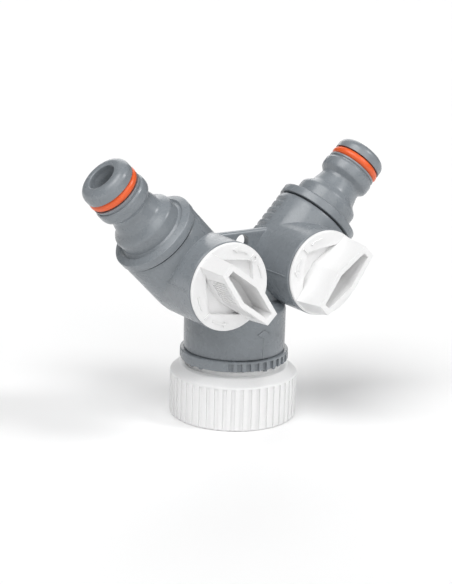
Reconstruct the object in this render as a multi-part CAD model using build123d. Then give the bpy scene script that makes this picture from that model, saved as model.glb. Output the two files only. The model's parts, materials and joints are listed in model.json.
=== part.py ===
from build123d import *
import os
from math import degrees, radians, sin

# Two-way garden hose splitter: a grey Y-shaped manifold with a shut-off ball valve in each arm,
# a quick-connect hose nipple on each arm, and a white free-spinning coupling nut with a reducer below.
# Millimetres, +Z up. The origin is the centre of the nut's open end, on the inlet axis.
# The arms lie in the XZ plane and the valve knobs face -Y.

# ---------------------------------------------------------------- driving dimensions
ARM_ANGLE = 44.2            # each arm's lean from the vertical
JUNCTION_Z = 28.46          # where both arm axes cross above the inlet
ARM_Y = -0.65               # the arms stand a little in front of the inlet axis
ARM_R = 12.6                # outer radius of an arm
ARM_END = 39.15             # arm's open end, measured along the arm from the junction
VALVE_AT = 23.8             # valve axis, measured along the arm
ARM_LIP = (0.35, 1.0)       # radial and axial size of the taper at an arm's end
NECK_R = 8.0                # tube that joins the base to an arm
HOUSING_R = 12.7            # outer radius of a valve housing
HOUSING_FRONT = 19.9        # housing's end face, measured from the arm axis
WATERWAY_R = 4.6            # clear bore of passages, seats and balls
GAP = 0.15                  # play between separate pieces that don't slide on each other
RUNNING = 0.10              # radial play of a turning or sliding fit

# Manifold
BASE_R = 15.1
BASE_BOTTOM = 20.35
BASE_TOP = 35.0
BASE_ROUNDING = 2.8
SKIRT_R = 13.0              # thin skirt below the base that the lock ring closes
SKIRT_BOTTOM = 17.15
SKIRT_SLOT_W = 1.2
SKIRT_SLOTS = 4
INLET_R = 11.0
INLET_TOP = 27.5            # above it the inlet narrows to the two waterways
INLET_NECK_R = 6.5
INLET_NECK_Z = 32.5
CHAMBER_R = 8.9             # ball chamber
CHAMBER_START = VALVE_AT - 9.3
CHAMBER_END = VALVE_AT + 9.3
SOCKET_R = 10.5             # socket for the nipple's spigot
STEM_HOLE_R = 4.2
HUB_HOLE_R = 9.9
HUB_HOLE_FLOOR = 13.6       # measured from the arm axis
SNAP_GROOVE_R = 10.3
SNAP_GROOVE = (15.3, 16.5)  # from and to, measured from the arm axis
WEB_T = 2.4                 # plate between the arms
WEB_Y = -1.6
WEB_TOP = 55.9
WEB_BOTTOM = 33.0
HANG_HOLE_R = 2.3
HANG_HOLE_Z = 52.6
GRIP_GROOVES = 5            # finger grooves at the back of each arm, above the crotch
GRIP_PITCH = 2.4
GRIP_START = 26.7
GRIP_DEPTH = 0.5
GRIP_FLOOR = 0.5
STOP_R = (5.0, 7.9)         # stop rib in the hub hole: inner and outer radius
STOP_H = 1.8
STOP_OPENING = 142.0        # free angle between the stop rib's ends
SEAM_W = 0.3                # moulding seam down the base's front, below a raised diamond
SEAM_H = 0.15
SEAM_TOP = 26.9
DIAMOND = (4.4, 2.4)        # width and height

# Ball valve
BALL_R = 8.4
SEAT_R = 8.75
SLOT_W = 2.5                # drive slot in the ball
BLADE_W = 2.2
BLADE_L = 7.0
BLADE_TIP = 6.3             # measured from the arm axis
STEM_R = STEM_HOLE_R - RUNNING
STEM_SEAL_AT = 11.4
HUB_R = HUB_HOLE_R - RUNNING
HUB_WALL = 1.5
DISC_R = 12.55
DISC_BACK = HOUSING_FRONT + 0.35
DISC_FRONT = 21.0
DISC_FLOOR = 18.2           # back of the knob's thick plate
HANDLE_TIP = 30.8
HANDLE_FOOT = (12.2, 2.5, 4.9)    # half length, half end width, half middle width
HANDLE_CREST = (11.0, 2.1, 4.2)
POCKET_FLOOR = 22.6
POCKET_FOOT = (8.9, 0.8, 2.3)
POCKET_MOUTH = (9.4, 1.0, 2.7)
RECESS_APEX = 9.9
RECESS_HALF = 10.2
RECESS_FLOOR = 19.5
RECESS_CORNER = 2.0
FLUTE_PITCH = 0.85
FLUTES = 19
FLUTE_W = 0.4
FLUTE_DEPTH = 0.26
FLUTE_END_LAND = 1.5        # smooth part above and below the flutes
MARK_R = 10.6               # ring on which the open and shut marks stand
MARK_H = 0.35
MARK_W = 0.5
TURN = 90.0

# Hose nipple, measured from the back of its flange
NIPPLE_AT = ARM_END + 0.55  # the flange's back, along the arm
NOSE_R = 7.8
NOSE_END = 25.8
FLANGE_R = 12.85
FLANGE_T = 2.4
BELL_R = 9.6
WAIST_R = 6.65
RING_R = 8.12
NOSE_SEAL_AT = 20.75
NOSE_SEAL_W = 2.7
SPIGOT_R = SOCKET_R - GAP
SPIGOT_START = CHAMBER_END + GAP - NIPPLE_AT
BASE_SEAL_AT = -2.9
MOUTH_R = 4.2
MOUTH_DEPTH = 1.6
NIPPLE_BORE_R = 3.8

# Lock ring
LOCK_R = 16.15
LOCK_BOTTOM = 17.0
LOCK_TOP = 20.15
NOTCH_PITCH = 9.2
NOTCHES_PER_SECTOR = 12
NOTCH_W = 1.5
NOTCH_DEPTH = 0.75
LUG_R = 15.2                # small lugs under the ring that its snap fingers end in
LUG_H = 0.5
LUG_PAIR_AT = 10.0          # one pair of lugs in every quarter of the ring
LUG_PAIR_HALF = 7.0

# Coupling nut, tailpiece and reducer
NUT_R = 19.0
NUT_RIB_TOP = 12.7
NUT_RIBS = 48
RIB_GAP_W = 1.05
RIB_GAP_DEPTH = 0.4
NUT_SHOULDER_R = 16.3
NUT_TOP = 15.3
NUT_NECK_R = 14.4
NUT_NECK_TOP = 16.7
NUT_HOLE_R = 12.7
LEDGE_Z = 13.5
THREAD_PITCH = 2.309        # 11 threads to the inch
THREAD_FOOT = 1.45          # width of a thread's groove at the wall it is cut in
THREAD_PLAY = 0.2
G1_MAJOR_R = 33.25 / 2
G1_MINOR_R = 30.29 / 2
G34_MAJOR_R = 26.44 / 2
G34_MINOR_R = 24.12 / 2
TAIL_FLANGE_R = 14.8
TAIL_FLANGE_T = 2.0
TAIL_TOP = 26.4
TAIL_BORE_R = 8.0
TAIL_SPIGOT_R = INLET_R - RUNNING
TAIL_SEAL_AT = 23.6
SNAP_BEAD_AT = 18.9
SNAP_BEAD_H = 0.3
WASHER_T = 1.8
G1_FIRST_Z = 2.3
G1_TURNS = 4
G34_FIRST_Z = 1.7
G34_TURNS = 2
G34_END_Z = 5.8             # above it the bore is relieved for the washer
REDUCER_TOP = 9.3
REDUCER_LEDGE_Z = 7.7
REDUCER_KEYS = 4
REDUCER_KEY_W = 3.0
REDUCER_KEY_DEPTH = 1.6


# ---------------------------------------------------------------- shape helpers
def turned(points, radii=None):
    """Solid of revolution about Z from an outline of (radius, z) points with corner radii."""
    corners = radii or {}
    radius_list = [corners.get(i, 0) for i in range(len(points))]
    outline = FilletPolyline(*points, radius=radius_list, close=True)
    return revolve(Plane.XZ * make_face(outline), Axis.Z)


def tube(r_out, r_in, z0, z1):
    return turned([(r_in, z0), (r_out, z0), (r_out, z1), (r_in, z1)])


def rod(r, z0, z1):
    return Pos(0, 0, z0) * Cylinder(r, z1 - z0, align=(Align.CENTER, Align.CENTER, Align.MIN))


def o_ring(r_mid, section, z):
    return Pos(0, 0, z) * Torus(r_mid, section / 2)


def thread_rings(r_wall, r_far, z0, count, foot=THREAD_FOOT):
    """Ring-shaped threads that stand on (or sink into) a wall at r_wall and reach r_far."""
    reach = 0.05 if r_far > r_wall else -0.05
    rings = Part()
    for i in range(count):
        z = z0 + i * THREAD_PITCH
        rings += turned([(r_wall - reach, z - foot / 2), (r_far, z - foot / 6),
                         (r_far, z + foot / 6), (r_wall - reach, z + foot / 2)])
    return rings


def sector(r_in, r_out, z0, z1, start, sweep):
    """Part of a ring, from angle start through sweep degrees about Z."""
    ring_face = Plane.XZ * Pos((r_in + r_out) / 2, (z0 + z1) / 2) * Rectangle(r_out - r_in, z1 - z0)
    return Rot(0, 0, start) * revolve(ring_face, Axis.Z, sweep)


# An arm is built upright, with its axis on Z and its valve axis on -Y, and then leaned over.
def on_arm(side, shape):
    return Pos(0, ARM_Y, JUNCTION_Z) * Rot(0, side * ARM_ANGLE, 0) * shape


# A valve piece is built with its axis on +Z, outwards from the arm axis, the arm along its +Y.
def on_valve(shape):
    return Pos(0, 0, VALVE_AT) * Rot(90, 0, 0) * shape


# ---------------------------------------------------------------- manifold
def arm_outside():
    """Tube from the valve out, rounded off behind the valve, on a slimmer neck from the base."""
    lip_r, lip_length = ARM_LIP
    arm = turned([(0, VALVE_AT), (ARM_R, VALVE_AT), (ARM_R, ARM_END - lip_length),
                  (ARM_R - lip_r, ARM_END), (0, ARM_END)])
    return arm + Pos(0, 0, VALVE_AT) * Sphere(ARM_R) + rod(NECK_R, 0, VALVE_AT)


def finger_grooves():
    """Short grooves round the back of an arm, on the side that faces the other arm."""
    cut = Part()
    for i in range(GRIP_GROOVES):
        z = GRIP_START + i * GRIP_PITCH
        rise = 2 * GRIP_DEPTH
        groove = turned([(ARM_R - GRIP_DEPTH, z), (ARM_R + GRIP_DEPTH, z - rise),
                         (ARM_R + GRIP_DEPTH, z + GRIP_FLOOR + rise), (ARM_R - GRIP_DEPTH, z + GRIP_FLOOR)])
        keep = Pos(-ARM_R, ARM_R / 2 + 0.6, z) * Box(ARM_R + 4, ARM_R + 1.2, 4)
        cut += groove & keep
    return cut


def finger_grooves_for(side):
    """The grooves face the other arm, so the left arm's are mirrored."""
    return finger_grooves() if side > 0 else mirror(finger_grooves(), Plane.YZ)


def arm_cavity():
    """Waterway, ball chamber and nipple socket of one arm."""
    return turned([(0, -1), (WATERWAY_R, -1), (WATERWAY_R, CHAMBER_START), (CHAMBER_R, CHAMBER_START),
                   (CHAMBER_R, CHAMBER_END), (SOCKET_R, CHAMBER_END), (SOCKET_R, ARM_END + 1),
                   (0, ARM_END + 1)])


def housing_cavity():
    """Stem hole, hub hole and the groove that the hub's bead snaps into."""
    return turned([(0, 0), (STEM_HOLE_R, 0), (STEM_HOLE_R, HUB_HOLE_FLOOR),
                   (HUB_HOLE_R, HUB_HOLE_FLOOR), (HUB_HOLE_R, SNAP_GROOVE[0]),
                   (SNAP_GROOVE_R, SNAP_GROOVE[0]), (SNAP_GROOVE_R, SNAP_GROOVE[1]),
                   (HUB_HOLE_R, SNAP_GROOVE[1]), (HUB_HOLE_R, HOUSING_FRONT + 1), (0, HOUSING_FRONT + 1)])


def stop_rib(side):
    """C-shaped rib on the hub hole's floor; its two ends stop the knob 90 degrees apart."""
    opening_middle = 90 + side * TURN / 2
    start = opening_middle + STOP_OPENING / 2
    return sector(*STOP_R, HUB_HOLE_FLOOR - 0.2, HUB_HOLE_FLOOR + STOP_H, start, 360 - STOP_OPENING)


def housing_outside(side):
    """Cylinder that the knob sits on, with a moulding seam along both its upright sides."""
    boss = rod(HOUSING_R, 0, HOUSING_FRONT)
    seam = Pos(0, 0, HOUSING_FRONT / 2) * Rot(0, 0, side * ARM_ANGLE)
    seam *= Box(2 * (HOUSING_R + SEAM_H), SEAM_W, HOUSING_FRONT - 3)
    return chamfer(boss.edges().group_by(Axis.Z)[-1], 0.3) + seam


def web():
    """Plate between the arms, with a round hole to hang the splitter up by."""
    half = VALVE_AT * sin(radians(ARM_ANGLE))
    plate = Pos(0, WEB_Y, (WEB_TOP + WEB_BOTTOM) / 2) * Box(2 * half, WEB_T, WEB_TOP - WEB_BOTTOM)
    plate = fillet(plate.edges().filter_by(Axis.X).group_by(Axis.Z)[-1], 0.9)
    hole = Pos(0, WEB_Y, HANG_HOLE_Z) * Rot(90, 0, 0) * Cylinder(HANG_HOLE_R, 3 * WEB_T)
    return plate - hole


def base_outside():
    base = turned([(0, BASE_BOTTOM), (BASE_R, BASE_BOTTOM), (BASE_R, BASE_TOP), (0, BASE_TOP)],
                  {2: BASE_ROUNDING})
    skirt = rod(SKIRT_R, SKIRT_BOTTOM, BASE_BOTTOM)
    width, height = DIAMOND
    diamond_z = SEAM_TOP + height / 2 - 0.3
    seam = Pos(0, -BASE_R, (BASE_BOTTOM + SEAM_TOP) / 2) * Box(SEAM_W, 2 * SEAM_H, SEAM_TOP - BASE_BOTTOM)
    corners = Polyline((width / 2, 0), (0, height / 2), (-width / 2, 0), (0, -height / 2), close=True)
    diamond = extrude(Plane.XZ.offset(BASE_R - 1) * make_face(corners), 1 + SEAM_H + 0.05)
    return base + skirt + seam + Pos(0, 0, diamond_z) * diamond


def inlet_cavity():
    groove_half = SNAP_BEAD_H + GAP
    cavity = turned([(0, SKIRT_BOTTOM - 1), (INLET_R, SKIRT_BOTTOM - 1), (INLET_R, INLET_TOP),
                     (INLET_NECK_R, INLET_NECK_Z), (0, INLET_NECK_Z)])
    cavity += turned([(INLET_R - 0.5, SNAP_BEAD_AT - 2 * groove_half),
                      (INLET_R + groove_half, SNAP_BEAD_AT - groove_half),
                      (INLET_R + groove_half, SNAP_BEAD_AT + groove_half),
                      (INLET_R - 0.5, SNAP_BEAD_AT + 2 * groove_half)])
    for i in range(SKIRT_SLOTS):
        slot = Pos((INLET_R + SKIRT_R) / 2, 0, SKIRT_BOTTOM + 1) * Box(3, SKIRT_SLOT_W, 4)
        cavity += Rot(0, 0, 45 + i * 360 / SKIRT_SLOTS) * slot
    return cavity


def manifold_body():
    body = base_outside() + web()
    for side in (-1, 1):
        body += on_arm(side, arm_outside() + on_valve(housing_outside(side)))
    body -= inlet_cavity()
    for side in (-1, 1):
        body -= on_arm(side, arm_cavity() + on_valve(housing_cavity()) + finger_grooves_for(side))
        body += on_arm(side, on_valve(stop_rib(side)))
    return body


# ---------------------------------------------------------------- valve
def ball():
    body = Sphere(BALL_R) - Rot(90, 0, 0) * Cylinder(WATERWAY_R, 3 * BALL_R)
    slot = Pos(0, 0, BALL_R) * Box(SLOT_W, 2 * BALL_R, 2 * (BALL_R - BLADE_TIP + GAP))
    return body - slot


def seat(towards_ball):
    """PTFE-like ring with a face hollowed to the ball; towards_ball is +1 below it, -1 above it."""
    start, end = (CHAMBER_START, VALVE_AT - 5.6) if towards_ball > 0 else (VALVE_AT + 5.6, CHAMBER_END)
    ring = tube(SEAT_R, WATERWAY_R, start + 0.02, end - 0.02)
    return ring - Pos(0, 0, VALVE_AT) * Sphere(BALL_R + GAP)


def hexagon_prism(foot, z0, crest, z1):
    """Six-sided bar that narrows from foot to crest: widest in the middle, slim at both ends."""
    faces = Sketch()
    for (half_length, end, middle), z in ((foot, z0), (crest, z1)):
        outline = Polyline((end, half_length), (middle, 0), (end, -half_length),
                           (-end, -half_length), (-middle, 0), (-end, half_length), close=True)
        faces += Plane.XY.offset(z) * make_face(outline)
    return loft(faces, ruled=True)


def bar_half_width(section, along):
    """Half width of the turning bar's six-sided section, at a distance along it from the middle."""
    half_length, end, middle = section
    return middle - (middle - end) * abs(along) / half_length


def flutes(flank):
    """Fine grip flutes up one flank of the bar, at -X or +X."""
    height = HANDLE_TIP - DISC_FRONT
    cuts = Part()
    for i in range(FLUTES):
        along = (i - (FLUTES - 1) / 2) * FLUTE_PITCH
        foot_x = bar_half_width(HANDLE_FOOT, along)
        crest_x = bar_half_width(HANDLE_CREST, along)
        lean = degrees((foot_x - crest_x) / height)
        strip = Box(2 * FLUTE_DEPTH, FLUTE_W, height - 2 * FLUTE_END_LAND)
        middle = Pos(flank * (foot_x + crest_x) / 2, along, (HANDLE_TIP + DISC_FRONT) / 2)
        cuts += middle * Rot(0, -flank * lean, 0) * strip
    return cuts


def marks():
    """Raised line for open and ring for shut, each with a small arrow, on the disc's rim."""
    z = DISC_FRONT + MARK_H / 2 - 0.05
    line = Pos(-MARK_R, 0, z) * Box(2.0, MARK_W, MARK_H + 0.1)
    ring = Pos(MARK_R, 0, z) * (Cylinder(1.1, MARK_H + 0.1) - Cylinder(1.1 - MARK_W, 1))
    raised = line + ring
    for half_turn in (0, 180):
        for start in (-36, 14):
            z0 = DISC_FRONT - 0.05
            arc = sector(MARK_R - MARK_W / 2, MARK_R + MARK_W / 2, z0, DISC_FRONT + MARK_H, start, 22)
            raised += Rot(0, 0, half_turn) * arc
        arrow = extrude(Triangle(a=1.7, b=1.7, c=1.7), MARK_H)
        raised += Rot(0, 0, half_turn + 38) * Pos(MARK_R, 0, DISC_FRONT) * arrow
    return raised


def knob(side):
    """Disc, hub and stem with a hollow lens-shaped bar to turn it by; the bar lies along the arm."""
    rim = 0.45
    body = turned([(0, BLADE_TIP + 2.6), (STEM_R, BLADE_TIP + 2.6),
                   (STEM_R, STEM_SEAL_AT - 0.95), (STEM_R - 1.15, STEM_SEAL_AT - 0.95),
                   (STEM_R - 1.15, STEM_SEAL_AT + 0.95), (STEM_R, STEM_SEAL_AT + 0.95),
                   (STEM_R, DISC_FLOOR), (HUB_R - HUB_WALL, DISC_FLOOR),
                   (HUB_R - HUB_WALL, HUB_HOLE_FLOOR + 0.3), (HUB_R, HUB_HOLE_FLOOR + 0.3),
                   (HUB_R, SNAP_GROOVE[0] + GAP), (SNAP_GROOVE_R - GAP, SNAP_GROOVE[0] + 2 * GAP),
                   (SNAP_GROOVE_R - GAP, SNAP_GROOVE[1] - 2 * GAP), (HUB_R, SNAP_GROOVE[1] - GAP),
                   (HUB_R, DISC_BACK), (DISC_R, DISC_BACK), (DISC_R, DISC_FRONT), (0, DISC_FRONT)],
                  {16: rim})
    blade = Pos(0, 0, (BLADE_TIP + BLADE_TIP + 3) / 2) * Box(BLADE_W, BLADE_L, 3)
    stop_lug = sector(STEM_R - 0.3, STOP_R[1], HUB_HOLE_FLOOR + 0.3, DISC_FLOOR + 0.2, 65, 50)
    recess_outline = Polyline((RECESS_APEX, 0), (0, RECESS_HALF + 2.2), (-RECESS_APEX, 0),
                              (0, -RECESS_HALF - 2.2), close=True)
    recess_face = fillet(make_face(recess_outline).vertices(), RECESS_CORNER)
    recess = extrude(Plane.XY.offset(RECESS_FLOOR) * recess_face, 3)
    recess -= Pos(0, 0, DISC_FRONT) * (Box(60, 60, 10) - Cylinder(11.9, 10))
    bar = hexagon_prism(HANDLE_FOOT, RECESS_FLOOR - 0.2, HANDLE_CREST, HANDLE_TIP)
    bar &= rod(DISC_R, DISC_BACK, HANDLE_TIP) + rod(HUB_R - 0.3, RECESS_FLOOR - 0.2, DISC_BACK)
    pocket = hexagon_prism(POCKET_FOOT, POCKET_FLOOR, POCKET_MOUTH, HANDLE_TIP + 0.01)
    body = body + blade + stop_lug - recess
    return body + (bar - flutes(side)) + marks() - pocket


# ---------------------------------------------------------------- nipple
def nipple():
    """Spigot, flange, bell, waist, snap ring, seal groove and rounded nose in one turning."""
    seal_floor = NOSE_R - 2.5
    outline = [
        (NIPPLE_BORE_R, SPIGOT_START), (SPIGOT_R, SPIGOT_START),
        (SPIGOT_R, BASE_SEAL_AT - 1.1), (SPIGOT_R - 1.6, BASE_SEAL_AT - 1.1),
        (SPIGOT_R - 1.6, BASE_SEAL_AT + 1.1), (SPIGOT_R, BASE_SEAL_AT + 1.1),
        (SPIGOT_R, 0), (FLANGE_R, 0), (FLANGE_R, FLANGE_T), (10.9, FLANGE_T + 0.8), (10.3, FLANGE_T + 0.4),
        (BELL_R, FLANGE_T + 0.9), (BELL_R, 7.1), (7.5, 9.2), (WAIST_R, 12.6), (WAIST_R, 13.6),
        (RING_R - 0.2, 14.9), (RING_R, 15.8), (RING_R, 17.6), (7.85, 18.1), (7.45, 18.3),
        (7.45, 18.7), (NOSE_R, 18.9),
        (NOSE_R, NOSE_SEAL_AT - NOSE_SEAL_W / 2), (seal_floor, NOSE_SEAL_AT - NOSE_SEAL_W / 2),
        (seal_floor, NOSE_SEAL_AT + NOSE_SEAL_W / 2), (NOSE_R, NOSE_SEAL_AT + NOSE_SEAL_W / 2),
        (NOSE_R, NOSE_END), (MOUTH_R, NOSE_END), (MOUTH_R, NOSE_END - MOUTH_DEPTH),
        (NIPPLE_BORE_R, NOSE_END - 2 * MOUTH_DEPTH)]
    corner = {7: 0.25, 8: 0.3, 9: 0.08, 10: 0.1, 12: 1.5, 13: 2.5, 14: 1.2, 15: 0.5, 16: 0.5, 18: 0.3,
              27: 2.4, 28: 0.35, 29: 0.3}
    return turned(outline, corner)


# ---------------------------------------------------------------- lock ring
def lock_ring():
    """Ring that keeps the skirt closed; two opposite sectors of its rim are notched."""
    ring = turned([(SKIRT_R + GAP, LOCK_BOTTOM), (LOCK_R, LOCK_BOTTOM), (LOCK_R, LOCK_TOP),
                   (SKIRT_R + GAP, LOCK_TOP)], {1: 0.5, 2: 0.35})
    lug = Pos(LUG_R, 0, LOCK_BOTTOM) * Box(0.8, 1.0, 2 * LUG_H)
    for quarter in range(4):
        for half in (-LUG_PAIR_HALF, LUG_PAIR_HALF):
            ring += Rot(0, 0, quarter * 90 + LUG_PAIR_AT + half) * lug
    notch = Pos(LOCK_R, 0, LOCK_BOTTOM) * Box(2 * NOTCH_DEPTH, NOTCH_W, 2 * (LOCK_TOP - LOCK_BOTTOM) - 1.2)
    first = -127.0
    for half_turn in (0, 180):
        for i in range(NOTCHES_PER_SECTOR):
            ring -= Rot(0, 0, first + half_turn + i * NOTCH_PITCH) * notch
    return ring


# ---------------------------------------------------------------- inlet pieces
def coupling_nut():
    """Ribbed nut with a G1 thread; its ledge hangs on the tailpiece's flange, so it spins freely."""
    body = turned([(G1_MINOR_R, 0), (NUT_R - 0.4, 0), (NUT_R, 0.5), (NUT_R, NUT_RIB_TOP + 0.5),
                   (NUT_SHOULDER_R, NUT_TOP), (NUT_NECK_R, NUT_TOP), (NUT_NECK_R, NUT_NECK_TOP),
                   (NUT_HOLE_R, NUT_NECK_TOP), (NUT_HOLE_R, LEDGE_Z), (G1_MINOR_R, LEDGE_Z)],
                  {1: 0.2, 2: 0.3, 3: 0.9, 4: 0.5, 6: 0.3})
    body -= thread_rings(G1_MINOR_R, G1_MAJOR_R, G1_FIRST_Z, G1_TURNS)
    gap_cut = Pos(NUT_R, 0, 0) * Box(2 * RIB_GAP_DEPTH, RIB_GAP_W, 2 * NUT_RIB_TOP)
    for i in range(NUT_RIBS):
        body -= Rot(0, 0, (i + 0.5) * 360 / NUT_RIBS) * gap_cut
    return body


def tailpiece():
    """Tube through the nut: flange below, spigot with a snap bead and a seal groove above."""
    flange_top = LEDGE_Z - GAP
    flange_bottom = flange_top - TAIL_FLANGE_T
    seal_floor = TAIL_SPIGOT_R - 1.7
    return turned([
        (TAIL_BORE_R, flange_bottom), (TAIL_FLANGE_R, flange_bottom), (TAIL_FLANGE_R, flange_top),
        (NUT_HOLE_R - RUNNING, flange_top), (NUT_HOLE_R - RUNNING, SKIRT_BOTTOM - GAP),
        (TAIL_SPIGOT_R, SKIRT_BOTTOM - GAP), (TAIL_SPIGOT_R, SNAP_BEAD_AT - 2 * SNAP_BEAD_H),
        (TAIL_SPIGOT_R + SNAP_BEAD_H, SNAP_BEAD_AT - SNAP_BEAD_H),
        (TAIL_SPIGOT_R + SNAP_BEAD_H, SNAP_BEAD_AT + SNAP_BEAD_H),
        (TAIL_SPIGOT_R, SNAP_BEAD_AT + 2 * SNAP_BEAD_H),
        (TAIL_SPIGOT_R, TAIL_SEAL_AT - 1.2), (seal_floor, TAIL_SEAL_AT - 1.2),
        (seal_floor, TAIL_SEAL_AT + 1.2), (TAIL_SPIGOT_R, TAIL_SEAL_AT + 1.2),
        (TAIL_SPIGOT_R, TAIL_TOP), (TAIL_BORE_R, TAIL_TOP)], {2: 0.3, 14: 0.6})


def reducer_adapter():
    """Bush with a G1 thread outside and a G3/4 thread inside, and key slots to turn it by."""
    outside = G1_MINOR_R - THREAD_PLAY
    body = turned([(G34_MINOR_R, 0), (outside, 0), (outside, REDUCER_TOP), (TAIL_BORE_R + 1, REDUCER_TOP),
                   (TAIL_BORE_R + 1, REDUCER_LEDGE_Z), (G34_MAJOR_R, REDUCER_LEDGE_Z),
                   (G34_MAJOR_R, G34_END_Z), (G34_MINOR_R, G34_END_Z)])
    body += thread_rings(outside, G1_MAJOR_R - THREAD_PLAY, G1_FIRST_Z, G1_TURNS - 1,
                         THREAD_FOOT - 2 * THREAD_PLAY)
    body -= thread_rings(G34_MINOR_R, G34_MAJOR_R, G34_FIRST_Z, G34_TURNS)
    key = Pos(G34_MAJOR_R + 2.2, 0, 0) * Box(3, REDUCER_KEY_W, 2 * REDUCER_KEY_DEPTH)
    for i in range(REDUCER_KEYS):
        body -= Rot(0, 0, 45 + i * 360 / REDUCER_KEYS) * key
    return body


def washer(r_in, r_out, z_top):
    return tube(r_out, r_in, z_top - WASHER_T, z_top)


# ---------------------------------------------------------------- all nodes
def inlet_nodes():
    flange_bottom = LEDGE_Z - GAP - TAIL_FLANGE_T
    return {
        "coupling_nut": coupling_nut(),
        "tailpiece": tailpiece(),
        "tailpiece_oring": o_ring(TAIL_SPIGOT_R - 0.8, 1.7, TAIL_SEAL_AT),
        "nut_washer": washer(TAIL_BORE_R + 0.3, TAIL_FLANGE_R - 0.2, flange_bottom - 0.05),
        "reducer_adapter": reducer_adapter(),
        "reducer_washer": washer(TAIL_BORE_R + 0.6, G34_MAJOR_R - 0.2, REDUCER_LEDGE_Z - 0.05),
        "lock_ring": lock_ring(),
    }


def arm_nodes(name, side):
    nose_seal_r = NOSE_R + 0.15 - NOSE_SEAL_W / 2
    pieces = {
        "nipple": Pos(0, 0, NIPPLE_AT) * nipple(),
        "nose_oring": o_ring(nose_seal_r, NOSE_SEAL_W - 0.05, NIPPLE_AT + NOSE_SEAL_AT),
        "socket_oring": o_ring(SOCKET_R - 0.88, 1.7, NIPPLE_AT + BASE_SEAL_AT),
        "inlet_seat": seat(1),
        "outlet_seat": seat(-1),
        "valve_ball": on_valve(ball()),
        "valve_knob": on_valve(knob(side)),
        "stem_oring": on_valve(o_ring(STEM_R - 0.5, 1.1, STEM_SEAL_AT)),
    }
    return {f"{name}_{key}": on_arm(side, solid) for key, solid in pieces.items()}


def main():
    nodes = {"manifold_body": manifold_body()}
    nodes.update(inlet_nodes())
    for name, side in (("left", -1), ("right", 1)):
        nodes.update(arm_nodes(name, side))
    os.makedirs("parts", exist_ok=True)
    for name, shape in nodes.items():
        export_step(shape, f"parts/{name}.step")


main()
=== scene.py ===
import json
from math import pi, radians

import bpy
from mathutils import Euler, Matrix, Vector

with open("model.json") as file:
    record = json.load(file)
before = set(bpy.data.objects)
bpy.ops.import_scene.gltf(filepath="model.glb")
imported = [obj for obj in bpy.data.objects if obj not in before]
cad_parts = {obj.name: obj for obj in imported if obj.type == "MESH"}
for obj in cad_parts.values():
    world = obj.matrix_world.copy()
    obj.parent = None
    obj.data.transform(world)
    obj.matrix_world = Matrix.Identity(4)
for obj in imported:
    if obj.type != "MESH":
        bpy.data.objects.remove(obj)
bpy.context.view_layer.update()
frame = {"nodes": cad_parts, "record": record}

NODES = frame["nodes"]

# ---------------------------------------------------------------- view and light
CAMERA_AZIMUTH = -34.0
CAMERA_ELEVATION = 15.1
CAMERA_ROLL = 1.5
CAMERA_DISTANCE = 0.423
CAMERA_LENS = 88.1
CAMERA_SENSOR = 36
CAMERA_NEAR = 0.01
CAMERA_AIM = Vector((-0.0023, 0.0016, 0.0368))

FLOOR_SIZE = 8.0
FLOOR_DROP = 0.0001         # how far the floor lies below the nut's open end
FLOOR_COLOUR = (0.95, 0.95, 0.95, 1)
FLOOR_ROUGHNESS = 0.9
WORLD_STRENGTH = 0.04
SOFT = 45.0                 # how wide a lamp looks, in degrees
CRISP = 16.0

# ---------------------------------------------------------------- materials
GREY = (0.245, 0.268, 0.290)
WHITE = (0.89, 0.89, 0.89)
ORANGE = (0.86, 0.13, 0.03)
BLACK = (0.02, 0.02, 0.021)
SEAT = (0.78, 0.78, 0.75)
EDGE_RADIUS = 0.0002        # rounding of every moulded edge, in the shading normal and in the painted edge highlight
EDGE_SAMPLES = 4
EDGE_AGREEMENT = (0.90, 0.995)      # rounded against flat normal: painted edge highlight full, none
EDGE_HIGHLIGHT_LIFT = 0.12            # a painted edge highlight's colour is this much plus the plastic's times the gain below
EDGE_HIGHLIGHT_GAIN = 1.25
ROUGHNESS_SWING = (-0.06, 0.08)     # how far the mottle moves a finish's roughness
MIDDLE = (0.3, 0.7)         # part of a noise that is stretched over its whole effect
SHARP_MIDDLE = (0.35, 0.65)
GRAIN_DEPTH = 0.00004
CREASE = 28.0               # degrees; sharper edges stay crisp
WELD = 1e-6

# noise per metre: slow clouds of tone, fine specks, mottled roughness, grained skin
CLOUD_SCALE = 90.0
SPECK_SCALE = 1500.0
MOTTLE_SCALE = 330.0
GRAIN_SCALE = 2600.0

# how each material slot is finished: grain is the skin's bump, drift and speckle the change in
# colour, rim how much the edges are painted paler as a painted highlight
FINISHES = {
    "grey_plastic": dict(colour=GREY, roughness=0.27, grain=0.5, drift=0.035, speckle=0.08, rim=0.6),
    "white_plastic": dict(colour=WHITE, roughness=0.34, grain=0.25, drift=0.01, speckle=0.02, rim=0.2),
    "orange_rubber": dict(colour=ORANGE, roughness=0.36, grain=0.3, drift=0.04, speckle=0.06, rim=0.1),
    "black_rubber": dict(colour=BLACK, roughness=0.5, grain=0.4, drift=0.1, speckle=0.1, rim=0.2),
    "seat_plastic": dict(colour=SEAT, roughness=0.3, grain=0.2, drift=0.02, speckle=0.02, rim=0.2),
}


def node(tree, kind, **values):
    """New node; each value sets the node's own setting of that name, or else its input."""
    made = tree.nodes.new(kind)
    for key, value in values.items():
        if hasattr(made, key):
            setattr(made, key, value)
        else:
            made.inputs[key.replace("_", " ")].default_value = value
    return made


def shift(tree, value, low, high, start=0.0, end=1.0):
    """Maps a value from start..end to low..high, clamped."""
    ramp = node(tree, "ShaderNodeMapRange")
    ramp.inputs["From Min"].default_value = start
    ramp.inputs["From Max"].default_value = end
    ramp.inputs["To Min"].default_value = low
    ramp.inputs["To Max"].default_value = high
    tree.links.new(value, ramp.inputs["Value"])
    return ramp.outputs["Result"]


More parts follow.
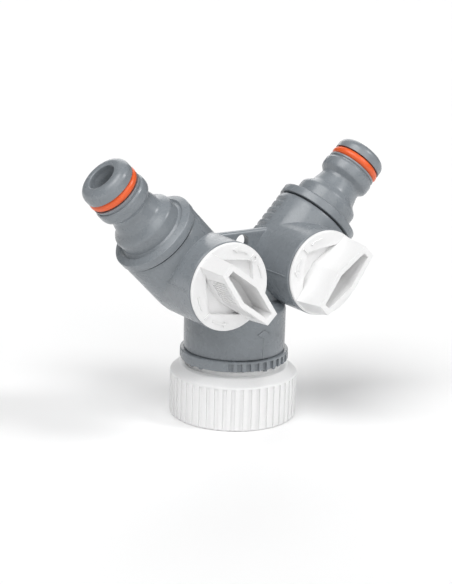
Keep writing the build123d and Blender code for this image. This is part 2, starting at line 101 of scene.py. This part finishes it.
def mix(tree, factor, first, second):
    """Blend of two colours; each is a socket or an RGB tuple."""
    blend = node(tree, "ShaderNodeMix", data_type="RGBA")
    tree.links.new(factor, blend.inputs["Factor"])
    for slot, colour in (("A", first), ("B", second)):
        if isinstance(colour, tuple):
            blend.inputs[slot].default_value = (*colour, 1)
        else:
            tree.links.new(colour, blend.inputs[slot])
    return blend.outputs["Result"]


def scaled(colour, factor):
    """The colour made darker or lighter, no component over 1."""
    return tuple(min(1.0, c * factor) for c in colour)


def noise(tree, place, scale, detail, roughness=0.5):
    """Noise in the object's own coordinates, as a value from 0 to 1."""
    texture = node(tree, "ShaderNodeTexNoise", Scale=scale, Detail=detail, Roughness=roughness)
    tree.links.new(place.outputs["Object"], texture.inputs["Vector"])
    return texture.outputs["Fac"]


def moulded(name, colour, roughness, grain, drift, speckle, rim):
    """Moulded plastic or rubber: slow colour drift, fine speckle, edges painted paler as a painted
    highlight, and a grained skin.
    """
    material = bpy.data.materials.new(name)
    material.use_nodes = True
    tree = material.node_tree
    shader = tree.nodes["Principled BSDF"]
    place = node(tree, "ShaderNodeTexCoord")
    clouds = shift(tree, noise(tree, place, CLOUD_SCALE, 4.0, 0.6), 0.0, 1.0, *MIDDLE)
    dots = shift(tree, noise(tree, place, SPECK_SCALE, 3.0, 0.7), 0.0, 1.0, *SHARP_MIDDLE)
    tones = mix(tree, clouds, scaled(colour, 1 - drift), scaled(colour, 1 + drift))
    grains = mix(tree, dots, scaled((1.0, 1.0, 1.0), 1 - speckle), (1.0, 1.0, 1.0))
    flecked = node(tree, "ShaderNodeMix", data_type="RGBA", blend_type="MULTIPLY")
    flecked.inputs["Factor"].default_value = 1.0
    tree.links.new(tones, flecked.inputs["A"])
    tree.links.new(grains, flecked.inputs["B"])

    rounded = node(tree, "ShaderNodeBevel", Radius=EDGE_RADIUS)
    rounded.samples = EDGE_SAMPLES
    flat = node(tree, "ShaderNodeNewGeometry")
    agreement = node(tree, "ShaderNodeVectorMath", operation="DOT_PRODUCT")
    tree.links.new(rounded.outputs["Normal"], agreement.inputs[0])
    tree.links.new(flat.outputs["Normal"], agreement.inputs[1])
    # painted highlight: where the rounded and flat normals part, convex and concave edges alike are
    # painted paler
    edge = shift(tree, agreement.outputs["Value"], rim, 0.0, *EDGE_AGREEMENT)
    painted_edge_highlight = tuple(min(1.0, EDGE_HIGHLIGHT_LIFT + c * EDGE_HIGHLIGHT_GAIN) for c in colour)
    tree.links.new(mix(tree, edge, flecked.outputs["Result"], painted_edge_highlight), shader.inputs["Base Color"])

    mottle = noise(tree, place, MOTTLE_SCALE, 3.0)
    smoothest, roughest = (roughness + swing for swing in ROUGHNESS_SWING)
    tree.links.new(shift(tree, mottle, smoothest, roughest, *MIDDLE), shader.inputs["Roughness"])
    bump = node(tree, "ShaderNodeBump", Strength=grain, Distance=GRAIN_DEPTH)
    tree.links.new(noise(tree, place, GRAIN_SCALE, 2.0), bump.inputs["Height"])
    tree.links.new(rounded.outputs["Normal"], bump.inputs["Normal"])
    tree.links.new(bump.outputs["Normal"], shader.inputs["Normal"])
    return material


MATERIALS = {slot: moulded(slot, **finish) for slot, finish in FINISHES.items()}


def smooth_by_angle():
    """Modifier tree that shades a mesh smooth but keeps every edge over CREASE crisp."""
    tree = bpy.data.node_groups.new("smooth_by_angle", "GeometryNodeTree")
    for side in ("INPUT", "OUTPUT"):
        tree.interface.new_socket("Geometry", in_out=side, socket_type="NodeSocketGeometry")
    weld = node(tree, "GeometryNodeMergeByDistance", Distance=WELD)
    faces = node(tree, "GeometryNodeSetShadeSmooth", domain="FACE")
    edges = node(tree, "GeometryNodeSetShadeSmooth", domain="EDGE")
    angle = node(tree, "GeometryNodeInputMeshEdgeAngle")
    soft = node(tree, "FunctionNodeCompare", operation="LESS_THAN")
    soft.inputs["B"].default_value = radians(CREASE)
    start = node(tree, "NodeGroupInput")
    end = node(tree, "NodeGroupOutput")
    tree.links.new(start.outputs["Geometry"], weld.inputs["Geometry"])
    tree.links.new(weld.outputs["Geometry"], faces.inputs["Geometry"])
    tree.links.new(faces.outputs["Geometry"], edges.inputs["Geometry"])
    tree.links.new(angle.outputs["Unsigned Angle"], soft.inputs["A"])
    tree.links.new(soft.outputs["Result"], edges.inputs["Shade Smooth"])
    tree.links.new(edges.outputs["Geometry"], end.inputs["Geometry"])
    return tree


def dress_cad_nodes():
    """Gives each CAD node its moulded material, and smooth shading with crisp edges."""
    smoothing = smooth_by_angle()
    for sub in frame["record"]["subparts"]:
        piece = NODES[sub["node"]]
        piece.data.materials.clear()
        piece.data.materials.append(MATERIALS[sub["material_slot"]])
        piece.modifiers.new("smooth_by_angle", "NODES").node_group = smoothing


# ---------------------------------------------------------------- stage
def floor():
    """Plain pale floor under the object."""
    mesh = bpy.data.meshes.new("floor")
    half = FLOOR_SIZE / 2
    corners = [(-half, -half, 0), (half, -half, 0), (half, half, 0), (-half, half, 0)]
    mesh.from_pydata(corners, [], [(0, 1, 2, 3)])
    plane = bpy.data.objects.new("floor", mesh)
    bpy.context.scene.collection.objects.link(plane)
    material = bpy.data.materials.new("floor")
    material.use_nodes = True
    shader = material.node_tree.nodes["Principled BSDF"]
    shader.inputs["Base Color"].default_value = FLOOR_COLOUR
    shader.inputs["Roughness"].default_value = FLOOR_ROUGHNESS
    mesh.materials.append(material)
    plane.location.z = -FLOOR_DROP


def sun(name, azimuth, elevation, strength, spread):
    """A lamp shining from that side; azimuth 0 is the front, strength 1 lights white to white."""
    lamp = bpy.data.lights.new(name, "SUN")
    lamp.angle = radians(spread)
    lamp.energy = strength * pi
    light = bpy.data.objects.new(name, lamp)
    light.rotation_euler = Euler((radians(90 - elevation), 0, radians(azimuth)))
    bpy.context.scene.collection.objects.link(light)


def studio():
    """A dim white surround and four lamps, named after the side that they shine from."""
    world = bpy.data.worlds.new("studio")
    world.use_nodes = True
    background = world.node_tree.nodes["Background"]
    background.inputs["Color"].default_value = (1, 1, 1, 1)
    background.inputs["Strength"].default_value = WORLD_STRENGTH
    bpy.context.scene.world = world
    sun("key", -70, 60, 0.69, SOFT)
    sun("front", -10, 30, 0.27, SOFT)
    sun("right", 44, 43, 0.30, CRISP)
    sun("back_right", 150, 25, 0.26, SOFT)


def camera():
    """The photograph's point of view."""
    lens = bpy.data.cameras.new("camera")
    lens.sensor_width = CAMERA_SENSOR
    lens.lens = CAMERA_LENS
    lens.clip_start = CAMERA_NEAR
    eye = bpy.data.objects.new("camera", lens)
    turn = Euler((radians(90 - CAMERA_ELEVATION), 0, radians(CAMERA_AZIMUTH)))
    eye.rotation_euler = (turn.to_matrix() @ Euler((0, 0, radians(CAMERA_ROLL))).to_matrix()).to_euler()
    eye.location = CAMERA_AIM + turn.to_matrix() @ Vector((0, 0, CAMERA_DISTANCE))
    bpy.context.scene.collection.objects.link(eye)
    bpy.context.scene.camera = eye


dress_cad_nodes()
floor()
studio()
camera()
bpy.context.scene.view_settings.view_transform = "Standard"
